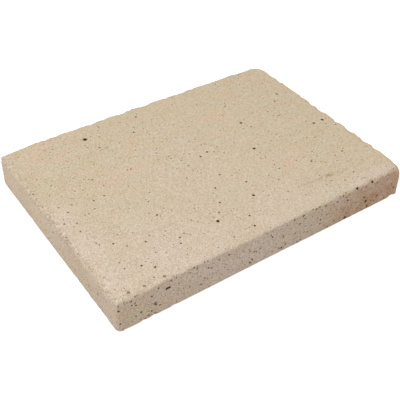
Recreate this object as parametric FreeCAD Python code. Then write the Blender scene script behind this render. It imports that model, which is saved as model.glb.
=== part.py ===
"""Refractory firebrick: one flat slab of fireclay, pressed in a mould and fired as a single piece.

It lies on its broad face. X runs along the long side, Y along the short side and Z up, with the
origin in the middle of the underside. The front is the long side at -Y and the left end is at -X.
All sizes are in millimetres.
"""

import FreeCAD
import Part
import os

# Overall size of the slab
LENGTH = 300.0
WIDTH = 215.0
THICKNESS = 34.0

# Upright corners in plan: crisp from the mould, or rubbed round in handling
FRONT_LEFT_CORNER = 5.0
FRONT_RIGHT_CORNER = 3.0
BACK_RIGHT_CORNER = 15.0
BACK_LEFT_CORNER = 4.5

# Arrises round the top face, each with the wear of its own side
FRONT_ARRIS = 2.2
RIGHT_ARRIS = 2.5
BACK_ARRIS = 3.0
LEFT_ARRIS = 4.0

# Arrises round the underside, which the mould's floor keeps crisp
UNDERSIDE_ARRIS = 1.5

# An arris is never rounder than this share of the upright corners that it turns
LARGEST_SHARE_OF_CORNER = 0.9


def plan_corners():
    """The slab's corners in plan, anticlockwise from the front left: place and radius of each."""
    half_length = LENGTH / 2
    half_width = WIDTH / 2
    return [
        (-half_length, -half_width, FRONT_LEFT_CORNER),
        (half_length, -half_width, FRONT_RIGHT_CORNER),
        (half_length, half_width, BACK_RIGHT_CORNER),
        (-half_length, half_width, BACK_LEFT_CORNER),
    ]


def corner_arc(x, y, radius):
    """A quarter round in the corner at x, y, run anticlockwise round the outline."""
    inward_x = -1 if x > 0 else 1
    inward_y = -1 if y > 0 else 1
    centre = FreeCAD.Vector(x + inward_x * radius, y + inward_y * radius, 0)
    on_end = FreeCAD.Vector(x, centre.y, 0)
    on_side = FreeCAD.Vector(centre.x, y, 0)
    middle = centre - FreeCAD.Vector(inward_x, inward_y, 0).normalize() * radius
    start, end = (on_end, on_side) if inward_x * inward_y > 0 else (on_side, on_end)
    return Part.Arc(start, middle, end)


def plan_wire():
    """The slab's outline in plan: a quarter round in each corner, and straight sides between them."""
    arcs = [corner_arc(x, y, radius) for x, y, radius in plan_corners()]
    edges = []
    for arc, following in zip(arcs, arcs[1:] + arcs[:1]):
        edges.append(arc.toShape())
        edges.append(Part.makeLine(arc.EndPoint, following.StartPoint))
    return Part.Wire(edges)


def fitted(wanted, *corners):
    """An arris's radius: the one wanted, or what the upright corners at its ends have room for."""
    return min(wanted, LARGEST_SHARE_OF_CORNER * min(corners))


def underside_arris():
    """The one radius that runs all round the underside."""
    corners = [radius for x, y, radius in plan_corners()]
    return fitted(UNDERSIDE_ARRIS, *corners)


def top_arris(point):
    """The top arris's radius on the side that a point of the outline lies on."""
    sides = [
        (point.y + WIDTH / 2, fitted(FRONT_ARRIS, FRONT_LEFT_CORNER, FRONT_RIGHT_CORNER)),
        (LENGTH / 2 - point.x, fitted(RIGHT_ARRIS, FRONT_RIGHT_CORNER, BACK_RIGHT_CORNER)),
        (WIDTH / 2 - point.y, fitted(BACK_ARRIS, BACK_RIGHT_CORNER, BACK_LEFT_CORNER)),
        (point.x + LENGTH / 2, fitted(LEFT_ARRIS, BACK_LEFT_CORNER, FRONT_LEFT_CORNER)),
    ]
    distance, radius = min(sides)
    return radius


def firebrick():
    """The slab drawn up from its outline, with its top and underside arrises rounded."""
    document = FreeCAD.newDocument("firebrick")
    block = document.addObject("Part::Feature", "block")
    block.Shape = Part.Face(plan_wire()).extrude(FreeCAD.Vector(0, 0, THICKNESS))
    rounds = []
    for number, edge in enumerate(block.Shape.Edges, start=1):
        first, last = edge.Vertexes[0].Point, edge.Vertexes[-1].Point
        if max(first.z, last.z) < THICKNESS / 2:
            rounds.append((number, underside_arris(), underside_arris()))
        elif min(first.z, last.z) > THICKNESS / 2:
            rounds.append((number, top_arris(first), top_arris(last)))
    rounded = document.addObject("Part::Fillet", "firebrick")
    rounded.Base = block
    rounded.Edges = rounds
    document.recompute()
    return rounded.Shape


def main():
    os.makedirs("parts", exist_ok=True)
    slab = firebrick()
    print("valid", slab.isValid(), "solids", len(slab.Solids), "volume", slab.Volume)
    slab.Solids[0].exportStep("parts/firebrick.step")


main()
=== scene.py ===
"""Looks of the refractory firebrick: a flat slab of fired clay with worn arrises, chips, grain and specks.

The slab is one fine mesh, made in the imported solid's box and worn at its edges, with one clay material.
Lengths are in millimetres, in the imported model's frame, unless a comment says otherwise.
"""

import itertools
import math
from collections import namedtuple

import bpy
import numpy as np
from mathutils import Matrix, Vector


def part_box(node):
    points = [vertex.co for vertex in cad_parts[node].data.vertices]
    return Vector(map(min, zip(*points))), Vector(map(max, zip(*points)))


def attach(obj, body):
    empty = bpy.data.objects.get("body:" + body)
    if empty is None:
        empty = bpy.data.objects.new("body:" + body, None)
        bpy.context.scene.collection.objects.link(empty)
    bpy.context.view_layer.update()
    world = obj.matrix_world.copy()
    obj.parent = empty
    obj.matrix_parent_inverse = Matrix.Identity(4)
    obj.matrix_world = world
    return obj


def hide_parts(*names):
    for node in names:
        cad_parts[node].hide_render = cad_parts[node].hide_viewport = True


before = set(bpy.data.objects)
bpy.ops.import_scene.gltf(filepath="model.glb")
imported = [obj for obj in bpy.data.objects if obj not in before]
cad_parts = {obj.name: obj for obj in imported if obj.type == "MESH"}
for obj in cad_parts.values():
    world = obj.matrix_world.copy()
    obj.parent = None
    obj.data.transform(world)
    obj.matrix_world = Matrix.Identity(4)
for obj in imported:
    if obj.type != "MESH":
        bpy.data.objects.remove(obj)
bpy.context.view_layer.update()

MM = 0.001
NODE = "firebrick"
LOW, HIGH = (np.array(corner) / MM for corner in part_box(NODE))
LENGTH, WIDTH, THICKNESS = HIGH - LOW
LEFT, FRONT, FOOT = LOW
RIGHT, BACK, TOP = HIGH

# The camera, as the slab's outline in the photograph sets it
CAMERA_PLACE = (-302.5, -420.1, 431.8)
CAMERA_TURN = -35.77  # degrees about the upright, where 0 looks along +Y
CAMERA_FALL = 40.726  # degrees below the horizon
CAMERA_ROLL = 1.68  # degrees, with the right side up
FOCAL_LENGTH = 1.7894  # in picture widths

# The studio: a square soft lamp, white light from all round, and a floor; lengths in metres
LAMP_WAY = (-0.46, -0.07, 0.88)
LAMP_FAR = 2.0
LAMP_SIDE = 1.2
LAMP_POWER = 17.9  # watts
WORLD_LIGHT = 0.6  # strength of the light from all round
WORLD_SEEN = 1.0  # its strength to the camera
FLOOR_HALF = 6.0
FLOOR_GREY = 0.69
FLOOR_LIFT = 0.7  # how much brighter the floor is to the camera
WHITE = (1.0, 1.0, 1.0, 1.0)

# The mesh: lattice lines, closer together along the arrises
FACE_STEP = 1.2
RIM_STEP = 0.75
RIM_WIDTH = 6.0
# The lattice's outside is rounded, and its points are then settled on the worn slab in a few rounds
FIRST_ROUND = 2.5
SETTLE_ROUNDS = 5
PROBE = 0.05  # step to either side by which the slab's slope is measured
# Space between the slab's sides on the flat map of them
MAP_GAP = 4.0

# Random swells: size, spacing and seed; the random heights repeat after a number of knots each way
Swell = namedtuple("Swell", "size spacing seed")
KNOTS = 97

# Upright corners in plan, at the slab's foot and head: front left, front right, back right, back left
FOOT_CORNERS = (2.0, 1.2, 13.0, 2.0)
HEAD_CORNERS = (4.0, 9.5, 14.0, 4.0)
CORNER_FLARE = 4  # power of the height with which a corner passes from one to the other
# Top arrises: radii at even steps along each side
FRONT_ARRIS = (4.5, 3.0, 2.0, 1.7, 1.6, 1.5, 1.6, 1.6, 1.8, 2.6, 2.8, 3.2, 6.2)  # from left to right
RIGHT_ARRIS = (6.0, 2.8, 2.6, 2.5, 2.4, 2.5, 2.6, 2.4, 2.2, 2.3, 2.4, 2.7, 3.0)  # from front to back
BACK_ARRIS = (7.0, 2.4, 2.0, 2.0, 2.0, 2.2, 2.2, 2.2, 2.6, 4.0, 6.0)  # from left to right
LEFT_ARRIS = (5.0, 4.5, 1.8, 2.4, 4.0, 4.5)  # from front to back
ARRIS_CHANGE = Swell(0.35, 11.0, 7)  # random change of these radii, as a share
LEFT_STRETCH = (1.3, 1.3, 2.2, 1.6, 1.2, 1.8)  # how much further the left arris reaches over the top
STRETCH_WIDTH = 25.0  # from the left side to where nothing is left of that
SIDE_BLEND = 6.0  # over which one side's wear passes into the next side's
UNDERSIDE_ARRIS = 1.5

# Relief of the fired surface
SWELL = Swell(0.30, 70.0, 7)
RIPPLE = Swell(0.10, 20.0, 8)
GRAIN = Swell(0.16, 2.6, 9)
CRUMBLE = Swell(0.55, 7.0, 12)
CRUMBS = Swell(1.15, 2.0, 13)
WEAR_ROUND = 8.0  # from an edge to where wear comes in square to the face
# How much each side's arrises crumble: front, right, back, left
CRUMBLING = (0.6, 0.95, 1.25, 1.6)
CRUMBLE_WIDTH = 4.0  # over which crumbling fades, away from an arris
FOOT_CRUMBLING = 0.3  # share of it near the foot
NEAR_SIDE = 0.05  # closeness to the sides under which it fades too
# Coarseness, which is 1 on most sides: on the broad faces, and how much less it is on the left side
BROAD_COARSENESS = 0.3
LEFT_SMOOTHING = 0.15
# Crumbs along the top's left and front arrises: how far in, half their band's width, and how strong
# their brown flecks are also painted shade, which dims these arrises
WORN_INSET = 1.2
WORN_REACH = 3.2
WORN_LEFT = 1.0
WORN_FRONT = 0.3

# Chips noted along the edges: place, reach and depth
Chip = namedtuple("Chip", "x y z reach depth")
NOTED_CHIPS = [
    Chip(RIGHT, 17.5, TOP, 5.0, 1.1), Chip(RIGHT, 4.0, TOP, 6.0, 1.4), Chip(RIGHT, -19.5, TOP, 5.0, 1.1),
    Chip(RIGHT, -38.0, TOP, 6.0, 1.3), Chip(RIGHT, -58.0, TOP, 5.5, 1.2), Chip(RIGHT, -73.0, TOP, 5.0, 0.9),
    Chip(LEFT, 30.0, TOP, 6.0, 0.4), Chip(LEFT, -8.0, TOP, 8.0, 1.2), Chip(LEFT, -46.0, TOP, 7.0, 1.3),
    Chip(LEFT, -58.0, TOP, 5.0, 0.9), Chip(LEFT, -73.0, TOP, 8.0, 1.6), Chip(LEFT, -88.0, TOP, 8.0, 1.6),
    Chip(-22.0, BACK, TOP, 5.0, 0.9), Chip(RIGHT, FRONT, TOP - 2.0, 7.0, 0.5),
    Chip(LEFT, FRONT, FOOT, 4.0, 1.0), Chip(-142.0, FRONT, FOOT, 3.0, 0.3),
    Chip(-127.0, FRONT, FOOT, 3.0, 0.6), Chip(-118.0, FRONT, FOOT, 3.0, 0.6),
    Chip(-99.0, FRONT, FOOT, 3.0, 0.4), Chip(143.5, FRONT, FOOT, 5.0, 1.1),
]
# Small chips at random places along the top arrises: how many, and from what to what reach and depth
SMALL_CHIPS = 90
SMALL_REACH = (1.8, 4.5)
SMALL_DEPTH = (0.2, 0.7)
CHIP_SEED = 7

# Scrapes along the top: both ends, half width and strength
Scrape = namedtuple("Scrape", "x y far_x far_y reach strength")
SCRAPES = [
    Scrape(53.0, -78.0, 102.0, -82.0, 1.6, 0.3), Scrape(83.0, -79.6, 87.0, -80.2, 2.0, 1.0),
    Scrape(-87.0, -56.5, -68.0, -57.5, 1.6, 0.2),
]
SCRAPE_DEPTH = 0.15

# The plainest specks, by the face they are on: along the face, up the face, width and darkness
Speck = namedtuple("Speck", "along up width dark", defaults=(1.0,))
TOP_SPECKS = [
    Speck(-73, 86, 4.0), Speck(-35, -75, 2.8), Speck(52, -12, 2.8), Speck(67, 28, 3.0, 0.8),
    Speck(138, -11, 2.7), Speck(127, -11, 2.8, 0.8), Speck(10, -65, 2.4), Speck(130, 50, 2.3),
    Speck(3, 5, 2.0), Speck(-13, -96, 2.0), Speck(-12, -39, 2.0), Speck(84, -56, 1.9),
    Speck(-68, 67, 1.9, 0.8), Speck(-29, 71, 1.9), Speck(-73, -41, 1.8), Speck(-20, -57, 1.9),
    Speck(-106, -91, 1.7), Speck(-28, -67, 1.8, 0.8), Speck(16, -47, 1.8), Speck(2, -26, 1.6),
    Speck(-114, -84, 1.7), Speck(-14, 92, 1.7), Speck(-60, 24, 1.6), Speck(-72, -74, 1.6),
    Speck(-96, 29, 1.6), Speck(-120, -51, 1.6), Speck(-9, -84, 1.7), Speck(-75, -80, 1.6),
    Speck(-136, -102, 2.7, 0.6), Speck(-123, -103, 2.4, 0.6), Speck(-105, -103, 2.5, 0.6),
    Speck(-142, -9, 1.6), Speck(-133, 2, 1.5), Speck(-133, -14, 1.4), Speck(-135, -24, 1.4),
    Speck(-131, -43, 1.4, 0.8), Speck(-146, -71, 1.6), Speck(-148, -24, 1.6),
]
FRONT_SPECKS = [
    Speck(-105.5, 24, 2.5), Speck(-103.5, 24, 2.3), Speck(-24, 6, 2.2), Speck(-22, 9, 1.9),
    Speck(108, 11, 2.8), Speck(84, 3, 2.7), Speck(112, 32, 3.2), Speck(10, 5, 2.2),
    Speck(93, 33, 3.1), Speck(105, 17, 2.2), Speck(-2, 24, 1.9), Speck(111, 4, 2.1),
    Speck(83, 24, 2.0), Speck(31, 31, 2.0), Speck(7, 6, 1.7), Speck(-117, 14, 1.6),
    Speck(-129, 12, 1.6), Speck(-20, 17, 1.5), Speck(-47, 28, 1.7), Speck(-113, 29, 1.5),
    Speck(-126, 2, 1.7), Speck(-148, 25, 1.8), Speck(-68, 33, 2.3),
]
LEFT_SPECKS = [Speck(-78, 18, 2.4, 0.7), Speck(-62, 13, 1.8, 0.7)]
# Pits of the specks from a certain width up: reach and depth in widths of the speck
PIT_FROM = 2.2
PIT_REACH = 0.7
PIT_DEPTH = 0.12
# How far from its middle a speck is kept track of: a share of its width, and a margin on top
TRACK_SHARE = 0.8
TRACK_MARGIN = 1.8
FAR_AWAY = 9.0  # offset, in half widths, of a point with no speck near

# Patches of colour noted in the photograph: face, middle along and up the face, reach and strength
Patch = namedtuple("Patch", "face along up reach strength")
FACING = {"top": (0, 0, 1), "front": (0, -1, 0), "left": (-1, 0, 0)}
PINK_PATCHES = [
    Patch("top", 50, 47, 15, 1.0), Patch("top", 70, -46, 13, 0.7), Patch("top", -105, 85, 22, 0.5),
    Patch("top", -88, 97, 18, 0.5), Patch("top", -37, 51, 8, 0.8), Patch("top", -101, 22, 13, 0.45),
    Patch("top", -136, 47, 14, 0.4), Patch("top", -69, 22, 10, 0.6), Patch("top", 134, 80, 14, 0.6),
    Patch("top", 143, -20, 16, 0.4), Patch("front", -135, 14, 40, 0.5), Patch("front", 50, 12, 35, 0.4),
]
FLASH_PATCHES = [
    Patch("front", 112, 9, 28, 1.0), Patch("front", 88, 5, 28, 0.75), Patch("front", 136, 14, 24, 0.9),
]
# Pale patches: paler, greyer clay, and partly painted light that makes the top and front lighter towards the
# left
PALE_AND_LIT_PATCHES = [
    Patch("top", -146, -5, 22, 0.9), Patch("top", -144, -45, 28, 1.0), Patch("top", -142, -85, 28, 0.9),
    Patch("top", -85, -95, 70, 0.75), Patch("top", 15, -100, 65, 0.6), Patch("top", 75, -106, 14, 0.5),
    Patch("top", 100, -106, 16, 0.9), Patch("top", 125, -106, 16, 0.9), Patch("front", -35, 17, 75, 0.85),
    Patch("top", -10, -30, 80, 0.4), Patch("left", 2, 18, 22, 0.5),
    Patch("front", 70, 34, 8, 0.7), Patch("front", 90, 34, 8, 0.6), Patch("front", 110, 34, 8, 0.6),
]
# Buff patches: the left face lighter and yellower towards its back
BUFF_PATCHES = [Patch("left", 80, 20, 35, 0.55), Patch("left", 35, 22, 25, 0.55)]


def linear(red, green, blue):
    """A colour as it shows on a screen, from 0 to 255, in Blender's linear numbers, by the sRGB curve."""
    shares = [channel / 255 for channel in (red, green, blue)]
    light = [share / 12.92 if share < 0.04 else ((share + 0.055) / 1.055) ** 2.4 for share in shares]
    return (*light, 1.0)


CLAY = linear(208, 195, 169)
# Painted shade tint: the clay on the sides, a little more purple than on the top, as if in shade
SHADE_TINTED_SIDE_CLAY = linear(212, 191, 177)
DEEP_CLAY = linear(205, 188, 162)
# worn clay, darker also as painted shade on the arrises
WORN_AND_SHADED_CLAY = linear(178, 158, 135)
CHALK = linear(226, 212, 197)
YELLOW = linear(206, 190, 158)
PINK = linear(216, 188, 161)
# paler, greyer clay, which also stands for painted light
PALE_AND_LIT_CLAY = linear(220, 201, 185)
BUFF = linear(224, 204, 176)
FLASH = linear(181, 144, 112)
RUST = linear(194, 139, 103)
DARK = linear(68, 42, 4)
UMBER = linear(92, 62, 32)
OCHRE = linear(150, 128, 92)
BROWN = linear(124, 90, 58)
LIGHT_GRAIN = linear(226, 213, 194)

# Noise in the clay: size of its patches, detail and roughness
Noise = namedtuple("Noise", "size detail roughness", defaults=(2.0, 0.5))
TINT_NOISE = Noise(12.0, 2.0, 0.7)
PALE_NOISE = Noise(5.0, 2.0, 0.6)
SCRAPE_NOISE = Noise(3.0)
CRUMB_NOISE = Noise(2.8, 3.0, 0.85)
FLASH_NOISE = Noise(9.0, 3.0, 0.7)
SHAKE_NOISE = Noise(1.1)
SPECK_NOISE = Noise(0.9)
ROUGH_NOISE = Noise(2.0)
BUMP_NOISE = Noise(1.2, 2.0, 0.7)
MIDDLE = 0.5  # of a noise, or of a random number, that runs from 0 to 1
# The stretch of its noise over which each colour comes in, and from what to what share where that isn't all
DEEP_RANGE = (0.36, 0.74, 0.0, 0.5)
YELLOW_RANGE = (0.34, 0.66)
PINK_RANGE = (0.38, 0.66)
PALE_RANGE = (0.35, 0.62, 0.4, 1.0)
SCRAPE_RANGE = (0.3, 0.6)
WORN_RANGE = (0.45, 0.6)
CHALK_RANGE = (0.46, 0.36)
FLASH_RANGE = (0.15, 0.7)
RUST_RANGE = (0.38, 0.62)
TINT_STREAK = (0.5, 1.0, 1.0)  # makes the tints twice as long along the slab
PINK_EVERYWHERE = 0.42  # share of pink outside its patches

# Sand in the clay: grain size, contrast on broad and on coarse faces, and how it turns red, green and blue
SAND_SIZE = 0.58
SAND_CONTRAST = (0.5, 0.66)
SAND_TINT = (0.76, 1.0, 1.24)

# Grains, one in each cell: spacing of the cells, and radius of the smallest and of the largest
Grains = namedtuple("Grains", "spacing smallest largest")
LIGHT_GRAINS = Grains(3.0, 0.0, 1.0)
FINE_SPECKS = Grains(2.1, 0.05, 0.53)
SMALL_SPECKS = Grains(3.5, 0.1, 0.84)
MEDIUM_SPECKS = Grains(12.0, 0.2, 1.4)
GRAIN_SKEW = 2.0  # power on the random share that sets a grain's size: above 1, more of them are small
GRAIN_SOFTNESS = 0.1  # width of a grain's soft edge
LIGHT_STRENGTH = 0.18  # share of their own colour in the light grains
SPECK_STRENGTH = 0.9  # share of their own colour in the fine and small specks
SPECK_SIZES = (0.93, 1.3)  # how large fine and small specks are on broad and on coarse faces
MEDIUM_SIZES = (0.82, 1.0)  # how large medium specks are on the faces with noted ones and on the others
# The noted specks' soft edge, from outside to inside, in half widths, and how ragged it is
SPECK_EDGE = (1.15, 0.95)
SPECK_RAGGED = 0.9

# The clay's finish: roughness by its noise, gloss, and the fine bump with its grains and specks
ROUGH_RANGE = (0.3, 0.7, 0.84, 0.97)
SPECULAR = 0.25
BUMP_DEPTH = 0.6
LIGHT_BUMP = 0.3
SPECK_BUMP = 0.8


# Random relief

def random_heights(points, swell):
    """Smooth random heights from -1 to 1 at points in space, with one knot every spacing."""
    knots = np.random.default_rng(swell.seed).uniform(-1, 1, (KNOTS, KNOTS, KNOTS))
    cell = points / swell.spacing
    base = np.floor(cell).astype(int)
    blend = cell - base
    blend = blend * blend * (3 - 2 * blend)
    height = np.zeros(len(points))
    for corner in itertools.product((0, 1), repeat=3):
        weight = np.where(corner, blend, 1 - blend).prod(axis=1)
        i, j, k = ((base + corner) % KNOTS).T
        height += weight * knots[i, j, k]
    return height


# The slab's shape

def unit(vectors):
    """The same directions, each one long."""
    return vectors / np.linalg.norm(vectors, axis=1)[:, None]


def plan_distance(x, y, radius):
    """Signed distance in plan to the slab's outline, whose corner there has that radius."""
    along = np.abs(x) - LENGTH / 2 + radius
    across = np.abs(y) - WIDTH / 2 + radius
    outside = np.hypot(np.maximum(along, 0), np.maximum(across, 0))
    return outside + np.minimum(np.maximum(along, across), 0) - radius


def rounded(first, second, radius):
    """Signed distance to two faces that meet in a round, from the signed distances to both."""
    outside = np.hypot(np.maximum(first + radius, 0), np.maximum(second + radius, 0))
    return outside + np.minimum(np.maximum(first, second) + radius, 0) - radius


def height_share(points):
    """How high each point is on the slab: 0 at its foot and 1 at its top."""
    return np.clip((points[:, 2] - FOOT) / THICKNESS, 0, 1)


def corner_radius(points):
    """The upright corner's radius nearest to each point: it grows towards the top, where it is worn."""
    x, y = points[:, :2].T
    quarter = np.where(y < 0, np.where(x < 0, 0, 1), np.where(x < 0, 3, 2))
    foot = np.take(FOOT_CORNERS, quarter)
    head = np.take(HEAD_CORNERS, quarter)
    return foot + (head - foot) * height_share(points) ** CORNER_FLARE


def side_closeness(points):
    """How close each point lies to the front, right, back and left sides: 1 on a side, less further in."""
    x, y = points[:, :2].T
    gaps = np.stack([y - FRONT, RIGHT - x, BACK - y, x - LEFT])
    return np.exp(-np.maximum(gaps, 0) / SIDE_BLEND)


def along_side(place, low, high, values):
    """A value at places along a side, between the ones given at even steps."""
    return np.interp(place, np.linspace(low, high, len(values)), values)


def arris_radius(points):
    """The top arris's radius near each point, blended from the sides that it lies closest to."""
    x, y = points[:, :2].T
    radii = np.stack([
        along_side(x, LEFT, RIGHT, FRONT_ARRIS),
        along_side(y, FRONT, BACK, RIGHT_ARRIS),
        along_side(x, LEFT, RIGHT, BACK_ARRIS),
        along_side(y, FRONT, BACK, LEFT_ARRIS),
    ])
    close = side_closeness(points)
    change = 1 + ARRIS_CHANGE.size * random_heights(points, ARRIS_CHANGE)
    return change * (close * radii).sum(axis=0) / close.sum(axis=0)


def distance(points):
    """Signed distance from points to the worn slab, before its chips and grain."""
    x, y, z = points.T
    side = plan_distance(x, y, corner_radius(points))
    left = np.clip(1 - (x - LEFT) / STRETCH_WIDTH, 0, 1)
    stretch = 1 + left * (along_side(y, FRONT, BACK, LEFT_STRETCH) - 1)
    upper = rounded(side / stretch, z - TOP, arris_radius(points))
    return rounded(upper, FOOT - z, UNDERSIDE_ARRIS)


def outward(points):
    """The direction straight out of the slab at each point."""
    steps = np.eye(3) * PROBE
    return unit(np.stack([distance(points + step) - distance(points - step) for step in steps], axis=1))


def wear_way(points):
    """The way out of the slab, against which wear comes in: square to a face, slanting near its edges."""
    return unit(points - np.clip(points, LOW + WEAR_ROUND, HIGH - WEAR_ROUND))


def settled(points):
    """Points moved straight in or out until they lie on the worn slab."""
    for _ in range(SETTLE_ROUNDS):
        points = points - distance(points)[:, None] * outward(points)
    return points


# Chips, crumbs, scrapes and grain

def place_on(face, along, up):
    """The place that lies that far along and up a face of the slab."""
    return {"top": (along, up, TOP), "front": (along, FRONT, up), "left": (LEFT, along, up)}[face]


def noted_specks():
    """Every noted speck with its place on the slab."""
    by_face = {"top": TOP_SPECKS, "front": FRONT_SPECKS, "left": LEFT_SPECKS}
    return [(speck, place_on(face, speck.along, speck.up))
            for face, specks in by_face.items() for speck in specks]


def small_chips():
    """Small chips at random places along the top arrises, spread evenly over their length."""
    random = np.random.default_rng(CHIP_SEED)
    found = []
    for _ in range(SMALL_CHIPS):
        x = random.uniform(LEFT, RIGHT)
        y = random.uniform(FRONT, BACK)
        if random.random() < LENGTH / (LENGTH + WIDTH):
            y = random.choice([FRONT, BACK])
        else:
            x = random.choice([LEFT, RIGHT])
        found.append(Chip(x, y, TOP, random.uniform(*SMALL_REACH), random.uniform(*SMALL_DEPTH)))
    return found


def speck_pits():
    """A shallow pit for each of the widest noted specks."""
    return [Chip(*place, PIT_REACH * speck.width, PIT_DEPTH * speck.width * speck.dark)
            for speck, place in noted_specks() if speck.width >= PIT_FROM]


def chipped(points):
    """How deep the chips and pits bite at each point."""
    depth = np.zeros(len(points))
    for chip in NOTED_CHIPS + speck_pits() + small_chips():
        gap = np.linalg.norm(points - (chip.x, chip.y, chip.z), axis=1) / chip.reach
        depth = np.maximum(depth, chip.depth * np.clip(1 - gap * gap, 0, 1))
    return depth


def rim_distance(points):
    """How far each point is from the nearest arris or upright corner."""
    gaps = np.minimum(points - LOW, HIGH - points)
    return np.sort(gaps, axis=1)[:, 1]


def crumbling(points):
    """How much the arris near each point crumbles, blended from the sides that it lies closest to."""
    close = side_closeness(points)
    blend = np.dot(CRUMBLING, close) / np.maximum(close.sum(axis=0), NEAR_SIDE)
    fade = np.exp(-rim_distance(points) / CRUMBLE_WIDTH)
    return blend * fade * np.maximum(height_share(points), FOOT_CRUMBLING)


def worn_and_shaded_band(points):
    """How strongly the crumbs along the top's left and front arrises show at each point, from 0 to 1."""
    # the crumbs are partly painted shade on these arrises
    x, y, z = points.T
    bands = []
    for inward, strength in [(x - LEFT, WORN_LEFT), (y - FRONT, WORN_FRONT)]:
        gap = np.hypot(inward - WORN_INSET, z - TOP) / WORN_REACH
        bands.append(strength * np.exp(-gap * gap))
    return np.maximum(*bands)


def scraped(points):
    """How strongly the scrapes show at each point, from 0 to 1."""
    strength = np.zeros(len(points))
    for scrape in SCRAPES:
        start = np.array([scrape.x, scrape.y])
        run = np.array([scrape.far_x, scrape.far_y]) - start
        offset = points[:, :2] - start
        along = np.clip(offset @ run / (run @ run), 0, 1)
        gap = np.linalg.norm(offset - along[:, None] * run, axis=1) / scrape.reach
        strength = np.maximum(strength, scrape.strength * np.exp(-gap * gap))
    return np.where(points[:, 2] > THICKNESS / 2, strength, 0)


def coarseness(facing):
    """How coarse the surface is by the way that it faces: the moulded broad faces are the smoothest."""
    broad = np.abs(facing[:, 2])
    left = np.clip(-facing[:, 0], 0, 1)
    return 1 - (1 - BROAD_COARSENESS) * broad - LEFT_SMOOTHING * left


def relief(points, coarse):
    """How deep the fired surface lies below the plain slab at each point."""
    depth = SCRAPE_DEPTH * scraped(points)
    for swell, share in [(SWELL, 1), (RIPPLE, 1), (GRAIN, coarse)]:
        depth += swell.size * share * (1 + random_heights(points, swell)) / 2
    for swell in [CRUMBLE, CRUMBS]:
        depth += swell.size * crumbling(points) * np.clip(random_heights(points, swell), 0, 1)
    return depth


# The mesh

def lattice_lines(low, high):
    """Lines from low to high, an even number of steps, closer together near both ends."""
    rim = np.arange(0, RIM_WIDTH, RIM_STEP)
    steps = 2 * round((high - low - 2 * RIM_WIDTH) / FACE_STEP / 2)
    middle = np.linspace(low + RIM_WIDTH, high - RIM_WIDTH, steps + 1)
    return np.concatenate([low + rim, middle, high - rim[::-1]])


def numbered(shape):
    """A number for each lattice point on the box's outside, or -1; the underside has every other line."""
    used = np.zeros(shape, bool)
    used[[0, -1], :, :] = True
    used[:, [0, -1], :] = True
    used[:, :, -1] = True
    used[::2, ::2, 0] = True
    number = np.full(shape, -1)
    number[used] = np.arange(used.sum())
    return number


def slab_points(lines, number):
    """The lattice's numbered points, rounded, settled on the worn slab, and then chipped and grained."""
    lattice = np.stack(np.meshgrid(*lines, indexing="ij"), axis=-1)[number >= 0]
    inner = np.clip(lattice, LOW + FIRST_ROUND, HIGH - FIRST_ROUND)
    points = settled(inner + FIRST_ROUND * unit(lattice - inner))
    depth = chipped(points) + relief(points, coarseness(outward(points)))
    return points - depth[:, None] * wear_way(points)


def quads(number):
    """Four-sided faces over a sheet of vertex numbers."""
    ring = [number[:-1, :-1], number[1:, :-1], number[1:, 1:], number[:-1, 1:]]
    return np.stack(ring, axis=-1).reshape(-1, 4).tolist()


def large_cells(number):
    """Faces two steps wide, or triangles that fan out from an extra vertex where a face meets the rim."""
    around = [(0, 0), (1, 0), (2, 0), (2, 1), (2, 2), (1, 2), (0, 2), (0, 1)]
    faces = []
    for i, j in itertools.product(range(0, number.shape[0] - 1, 2), range(0, number.shape[1] - 1, 2)):
        ring = [int(number[i + a, j + b]) for a, b in around]
        extra = next((place for place in range(1, len(ring), 2) if ring[place] >= 0), 0)
        first, *others = [n for n in ring[extra:] + ring[:extra] if n >= 0]
        if extra:
            faces += [[first, *pair] for pair in zip(others, others[1:])]
        else:
            faces.append([first, *others])
    return faces


def flipped(faces):
    """The same faces, turned to face the other way."""
    return [face[::-1] for face in faces]


def slab_faces(number):
    """The slab's faces, by the side of the box that they lie on."""
    return {
        "top": quads(number[:, :, -1]),
        "front": quads(number[:, 0, :]),
        "right": quads(number[-1, :, :]),
        "back": flipped(quads(number[:, -1, :])),
        "left": flipped(quads(number[0, :, :])),
        "underside": flipped(large_cells(number[:, :, 0])),
    }


# Numbers for the clay at each vertex

def soft_patches(points, facing, patches):
    """How strongly a group of soft patches shows at each point, from 0 to 1."""
    strength = np.zeros(len(points))
    for patch in patches:
        gap = np.linalg.norm(points - place_on(patch.face, patch.along, patch.up), axis=1) / patch.reach
        on_face = np.clip(facing @ FACING[patch.face], 0, 1)
        strength = np.maximum(strength, patch.strength * on_face * np.exp(-gap * gap))
    return strength


def speck_offsets(points, specks):
    """Each point's offset from the nearest speck within reach, in half widths, and that speck's darkness."""
    offsets = np.full((len(points), 3), FAR_AWAY)
    shades = np.zeros(len(points))
    nearest = np.full(len(points), np.inf)
    for speck, place in specks:
        offset = points - place
        gap = np.linalg.norm(offset, axis=1)
        closer = (gap < TRACK_SHARE * speck.width + TRACK_MARGIN) & (gap < nearest)
        nearest[closer] = gap[closer]
        offsets[closer] = offset[closer] / (speck.width / 2)
        shades[closer] = speck.dark
    return offsets, shades


def unnoted(facing):
    """1 on the right, back and underside, which have no noted specks, and 0 on the other faces."""
    return np.clip(2 * np.max(facing * (1, 1, -1), axis=1) - 1, 0, 1)


def add_numbers(mesh, name, values):
    """Keeps a number, or three, for each vertex under a name that the material reads."""
    kind, field = ("FLOAT_VECTOR", "vector") if values.ndim == 2 else ("FLOAT", "value")
    attribute = mesh.attributes.new(name, kind, "POINT")
    attribute.data.foreach_set(field, values.astype(np.float32).ravel())


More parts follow.
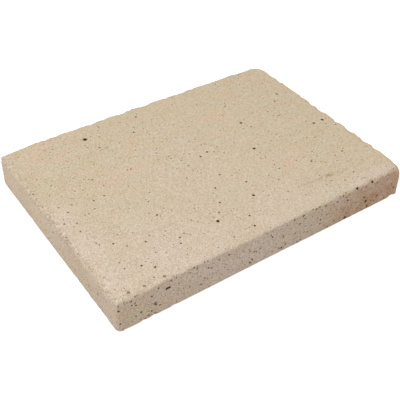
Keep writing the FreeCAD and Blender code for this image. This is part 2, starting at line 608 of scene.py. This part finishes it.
def add_looks(mesh, points):
    """Keeps the numbers that the clay material reads at each vertex."""
    facing = outward(points)
    add_numbers(mesh, "pink", soft_patches(points, facing, PINK_PATCHES))
    add_numbers(mesh, "flash", soft_patches(points, facing, FLASH_PATCHES))
    # pale patches, partly painted light
    add_numbers(mesh, "pale", soft_patches(points, facing, PALE_AND_LIT_PATCHES))
    add_numbers(mesh, "buff", soft_patches(points, facing, BUFF_PATCHES))
    # how much each vertex faces sideways, which sets the sides' painted shade tint
    add_numbers(mesh, "side", 1 - np.abs(facing[:, 2]))
    # crumbs along the arrises, partly painted shade
    add_numbers(mesh, "worn", worn_and_shaded_band(points))
    add_numbers(mesh, "scrape", scraped(points))
    add_numbers(mesh, "coarse", coarseness(facing))
    add_numbers(mesh, "unnoted", unnoted(facing))
    for name, specks in [("a", noted_specks()[::2]), ("b", noted_specks()[1::2])]:
        offsets, shades = speck_offsets(points, specks)
        add_numbers(mesh, "specks_" + name, offsets)
        add_numbers(mesh, "shades_" + name, shades)


# The flat map, and the slab itself

def bake_places(points, side):
    """Where points on one side of the slab lie on a flat square map of all its sides."""
    x, y, z = (points - LOW).T
    strip = THICKNESS + MAP_GAP
    across, up = {
        "top": (x, y),
        "underside": (x, y + WIDTH + MAP_GAP),
        "front": (z + LENGTH + MAP_GAP, x),
        "back": (z + LENGTH + MAP_GAP + strip, x),
        "left": (z + LENGTH + MAP_GAP + 2 * strip, y),
        "right": (z + LENGTH + MAP_GAP + 3 * strip, y),
    }[side]
    return np.stack([across, up], axis=1) / (LENGTH + MAP_GAP + 4 * strip)


def add_bake_map(mesh, points, faces):
    """A map on which the slab's sides lie flat at one scale, for textures made from its material."""
    places = [bake_places(points[list(itertools.chain(*group))], side) for side, group in faces.items()]
    layer = mesh.uv_layers.new(name="OFBake")
    layer.data.foreach_set("uv", np.concatenate(places).astype(np.float32).ravel())


def make_slab(material):
    """The slab: its worn mesh, with the numbers that its material needs."""
    lines = [lattice_lines(low, high) for low, high in zip(LOW, HIGH)]
    number = numbered([len(line) for line in lines])
    points = slab_points(lines, number)
    faces = slab_faces(number)
    mesh = bpy.data.meshes.new("fired_slab")
    mesh.from_pydata((points * MM).tolist(), [], list(itertools.chain(*faces.values())))
    mesh.polygons.foreach_set("use_smooth", np.ones(len(mesh.polygons), bool))
    add_looks(mesh, points)
    add_bake_map(mesh, points, faces)
    mesh.materials.append(material)
    slab = bpy.data.objects.new("fired_slab", mesh)
    bpy.context.scene.collection.objects.link(slab)
    return slab


# The clay

class Nodes:
    """The nodes of a material or a world, with one short method for each kind that is used."""

    def __init__(self, owner):
        owner.use_nodes = True
        self.tree = owner.node_tree
        self.tree.nodes.clear()

    def add(self, kind, inputs=None, **settings):
        made = self.tree.nodes.new(kind)
        for name, value in settings.items():
            setattr(made, name, value)
        for key, value in (inputs or {}).items():
            if isinstance(value, bpy.types.NodeSocket):
                self.tree.links.new(value, made.inputs[key])
            else:
                made.inputs[key].default_value = value
        return made.outputs

    def number(self, name):
        return self.add("ShaderNodeAttribute", attribute_name=name)["Fac"]

    def three(self, name):
        return self.add("ShaderNodeAttribute", attribute_name=name)["Vector"]

    def math(self, operation, first, second=0.0, third=0.0):
        return self.add("ShaderNodeMath", {0: first, 1: second, 2: third}, operation=operation)[0]

    def times(self, first, second):
        return self.math("MULTIPLY", first, second)

    def vector(self, operation, first, second=(0.0, 0.0, 0.0)):
        return self.add("ShaderNodeVectorMath", {0: first, 1: second}, operation=operation)

    def millimetres(self):
        place = self.add("ShaderNodeTexCoord")["Object"]
        return self.vector("MULTIPLY", place, (1 / MM, 1 / MM, 1 / MM))[0]

    def channels(self, colour):
        return self.add("ShaderNodeSeparateColor", {0: colour})

    def noise(self, place, kind):
        inputs = {"Vector": place, "Scale": 1 / kind.size, "Detail": kind.detail,
                  "Roughness": kind.roughness}
        return self.add("ShaderNodeTexNoise", inputs)

    def cells(self, place, spacing):
        return self.add("ShaderNodeTexVoronoi", {"Vector": place, "Scale": 1 / spacing})

    def remap(self, value, low, high, to_low=0.0, to_high=1.0):
        inputs = {"Value": value, "From Min": low, "From Max": high, "To Min": to_low, "To Max": to_high}
        return self.add("ShaderNodeMapRange", inputs)[0]

    def mix(self, share, below, above, blend="MIX"):
        made = self.add("ShaderNodeMix", {0: share, 6: below, 7: above}, data_type="RGBA", blend_type=blend)
        return made[2]


def shaken(clay, place):
    """Places moved a little at random, which makes the edges of grains ragged."""
    shake = clay.vector("SUBTRACT", clay.noise(place, SHAKE_NOISE)["Color"], (MIDDLE, MIDDLE, MIDDLE))[0]
    return clay.vector("ADD", place, shake)[0]


def grains(clay, place, kind, size=1.0):
    """Grains of random size, one in each cell, and a random number for each grain."""
    cells = clay.cells(place, kind.spacing)
    random = clay.channels(cells["Color"])
    share = clay.math("POWER", random[0], GRAIN_SKEW)
    radius = clay.remap(share, 0.0, 1.0, kind.smallest / kind.spacing, kind.largest / kind.spacing)
    inside = clay.math("SUBTRACT", clay.times(radius, size), cells["Distance"])
    return clay.remap(inside, 0.0, GRAIN_SOFTNESS / kind.spacing), random[1]


def noted_spots(clay, place, name):
    """Half of the noted specks, as ragged dark spots."""
    gap = clay.vector("LENGTH", clay.three("specks_" + name))["Value"]
    noise = clay.math("SUBTRACT", clay.noise(place, SPECK_NOISE)["Fac"], MIDDLE)
    inside = clay.remap(clay.math("ADD", gap, clay.times(noise, SPECK_RAGGED)), *SPECK_EDGE)
    return clay.times(inside, clay.number("shades_" + name))


def tinted(clay, place):
    """The clay between its grains: beige, with painted shade tint on the sides, and soft deep, yellow and
    pink streaks.
    """
    # painted shade tint on the sideways faces
    body = clay.mix(clay.number("side"), CLAY, SHADE_TINTED_SIDE_CLAY)
    streaked = clay.vector("MULTIPLY", place, TINT_STREAK)[0]
    tint = clay.channels(clay.noise(streaked, TINT_NOISE)["Color"])
    body = clay.mix(clay.remap(tint[2], *DEEP_RANGE), body, DEEP_CLAY)
    body = clay.mix(clay.remap(tint[1], *YELLOW_RANGE), body, YELLOW)
    pink = clay.math("ADD", clay.number("pink"), PINK_EVERYWHERE)
    return clay.mix(clay.times(clay.remap(tint[0], *PINK_RANGE), pink), body, PINK)


def stained_and_lit(clay, place, body):
    """The clay with its pale patches, partly painted light, its buff patches and its scrapes."""
    # pale patches: paler clay and partly painted light
    pale = clay.remap(clay.noise(place, PALE_NOISE)["Fac"], *PALE_RANGE)
    body = clay.mix(clay.times(pale, clay.number("pale")), body, PALE_AND_LIT_CLAY)
    # the left face lighter and yellower towards its back
    body = clay.mix(clay.number("buff"), body, BUFF)
    scrape = clay.remap(clay.noise(place, SCRAPE_NOISE)["Fac"], *SCRAPE_RANGE)
    return clay.mix(clay.times(scrape, clay.number("scrape")), body, OCHRE)


def crumbly(clay, place, body):
    """The clay with brown and chalky crumbs along its worn arrises, the brown ones also painted shade."""
    crumbs = clay.noise(place, CRUMB_NOISE)["Fac"]
    worn = clay.number("worn")
    # the brown crumbs: worn clay and painted shade
    body = clay.mix(clay.times(worn, clay.remap(crumbs, *WORN_RANGE)), body, WORN_AND_SHADED_CLAY)
    return clay.mix(clay.times(worn, clay.remap(crumbs, *CHALK_RANGE)), body, CHALK)


def flashed(clay, place, body):
    """The clay with the brown flash that the fire left on its front."""
    random = clay.channels(clay.noise(place, FLASH_NOISE)["Color"])
    fired = clay.mix(clay.remap(random[1], *RUST_RANGE), FLASH, RUST)
    return clay.mix(clay.times(clay.remap(random[0], *FLASH_RANGE), clay.number("flash")), body, fired)


def sanded(clay, place, coarse, body):
    """The clay with its sand: each grain a little paler, or a little browner, than the clay round it."""
    share = clay.channels(clay.cells(place, SAND_SIZE)["Color"])[0]
    contrast = clay.remap(coarse, BROAD_COARSENESS, 1.0, *SAND_CONTRAST)
    tone = clay.times(clay.math("SUBTRACT", share, MIDDLE), contrast)
    tones = [clay.math("MULTIPLY_ADD", tone, weight, 1.0) for weight in SAND_TINT]
    return clay.mix(1.0, body, clay.add("ShaderNodeCombineColor", dict(enumerate(tones)))[0], "MULTIPLY")


def speckled(clay, place, ragged, coarse, body):
    """The clay with its brown and dark specks, and how far each point is sunk in one, from 0 to 1."""
    size = clay.remap(coarse, BROAD_COARSENESS, 1.0, *SPECK_SIZES)
    fine, shade = grains(clay, ragged, FINE_SPECKS, size)
    body = clay.mix(clay.times(fine, SPECK_STRENGTH), body, clay.mix(shade, UMBER, BROWN))
    small, shade = grains(clay, ragged, SMALL_SPECKS, size)
    body = clay.mix(clay.times(small, SPECK_STRENGTH), body, clay.mix(shade, DARK, BROWN))
    size = clay.remap(clay.number("unnoted"), 0.0, 1.0, *MEDIUM_SIZES)
    medium = grains(clay, ragged, MEDIUM_SPECKS, size)[0]
    noted = clay.math("MAXIMUM", noted_spots(clay, place, "a"), noted_spots(clay, place, "b"))
    dark = clay.math("MAXIMUM", noted, medium)
    return clay.mix(dark, body, DARK), clay.math("MAXIMUM", dark, small)


def fireclay():
    """Beige fired clay: tinted, stained and flashed, with sand, light grains, brown and dark specks, and
    some painted light and shade.
    """
    material = bpy.data.materials.new("fireclay")
    clay = Nodes(material)
    place = clay.millimetres()
    ragged = shaken(clay, place)
    coarse = clay.number("coarse")
    body = stained_and_lit(clay, place, tinted(clay, place))
    body = flashed(clay, place, crumbly(clay, place, body))
    body = sanded(clay, ragged, coarse, body)
    light = grains(clay, ragged, LIGHT_GRAINS)[0]
    body = clay.mix(clay.times(light, LIGHT_STRENGTH), body, LIGHT_GRAIN)
    body, sunk = speckled(clay, place, ragged, coarse, body)
    rough = clay.remap(clay.noise(place, ROUGH_NOISE)["Fac"], *ROUGH_RANGE)
    height = clay.math("ADD", clay.noise(place, BUMP_NOISE)["Fac"], clay.times(light, LIGHT_BUMP))
    height = clay.math("SUBTRACT", height, clay.times(sunk, SPECK_BUMP))
    bump = clay.add("ShaderNodeBump", {"Strength": coarse, "Distance": BUMP_DEPTH * MM, "Height": height})[0]
    shader = clay.add("ShaderNodeBsdfPrincipled", {
        "Base Color": body, "Roughness": rough, "Specular IOR Level": SPECULAR, "Normal": bump})[0]
    clay.add("ShaderNodeOutputMaterial", {"Surface": shader})
    return material


# Floor, light and camera

def seen_directly(nodes):
    """1 for what the camera sees straight on, or in a mirror or glass, and 0 for light on its way."""
    path = nodes.add("ShaderNodeLightPath")
    direct = nodes.math("MAXIMUM", path["Is Camera Ray"], path["Is Glossy Ray"])
    return nodes.math("MAXIMUM", direct, path["Is Transmission Ray"])


def floor_paint():
    """Matt grey that glows to the camera, so that the floor shows white."""
    material = bpy.data.materials.new("floor")
    nodes = Nodes(material)
    matt = nodes.add("ShaderNodeBsdfDiffuse", {"Color": (FLOOR_GREY, FLOOR_GREY, FLOOR_GREY, 1.0)})[0]
    lift = nodes.times(seen_directly(nodes), FLOOR_LIFT)
    glow = nodes.add("ShaderNodeEmission", {"Strength": lift})[0]
    both = nodes.add("ShaderNodeAddShader", {0: matt, 1: glow})[0]
    nodes.add("ShaderNodeOutputMaterial", {"Surface": both})
    return material


def make_floor():
    """A wide pale floor under the slab."""
    ways = [(-1, -1), (1, -1), (1, 1), (-1, 1)]
    corners = [(FLOOR_HALF * x, FLOOR_HALF * y, 0) for x, y in ways]
    mesh = bpy.data.meshes.new("floor")
    mesh.from_pydata(corners, [], [(0, 1, 2, 3)])
    mesh.materials.append(floor_paint())
    floor = bpy.data.objects.new("floor", mesh)
    bpy.context.scene.collection.objects.link(floor)


def make_world():
    """Soft white light from all round, against white."""
    world = bpy.data.worlds.new("studio")
    nodes = Nodes(world)
    strength = nodes.remap(seen_directly(nodes), 0.0, 1.0, WORLD_LIGHT, WORLD_SEEN)
    background = nodes.add("ShaderNodeBackground", {"Color": WHITE, "Strength": strength})[0]
    nodes.add("ShaderNodeOutputWorld", {"Surface": background})
    bpy.context.scene.world = world


def make_lamp():
    """One square soft lamp above the slab's left, facing it."""
    lamp = bpy.data.lights.new("key", "AREA")
    lamp.shape = "SQUARE"
    lamp.size = LAMP_SIDE
    lamp.energy = LAMP_POWER
    holder = bpy.data.objects.new("key", lamp)
    holder.location = Vector(LAMP_WAY).normalized() * LAMP_FAR
    holder.rotation_mode = "QUATERNION"
    holder.rotation_quaternion = Vector(LAMP_WAY).to_track_quat("Z", "Y")
    bpy.context.scene.collection.objects.link(holder)


def make_camera():
    """The camera at the photograph's place."""
    camera = bpy.data.cameras.new("camera")
    camera.lens = FOCAL_LENGTH * camera.sensor_width
    holder = bpy.data.objects.new("camera", camera)
    turn = Matrix.Rotation(math.radians(CAMERA_TURN), 4, "Z")
    fall = Matrix.Rotation(math.radians(90 - CAMERA_FALL), 4, "X")
    roll = Matrix.Rotation(math.radians(CAMERA_ROLL), 4, "Z")
    holder.matrix_world = Matrix.Translation(Vector(CAMERA_PLACE) * MM) @ turn @ fall @ roll
    bpy.context.scene.collection.objects.link(holder)
    bpy.context.scene.camera = holder


slab = make_slab(fireclay())
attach(slab, "root")
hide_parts(NODE)
make_floor()
make_world()
make_lamp()
make_camera()
bpy.context.scene.view_settings.view_transform = "Standard"
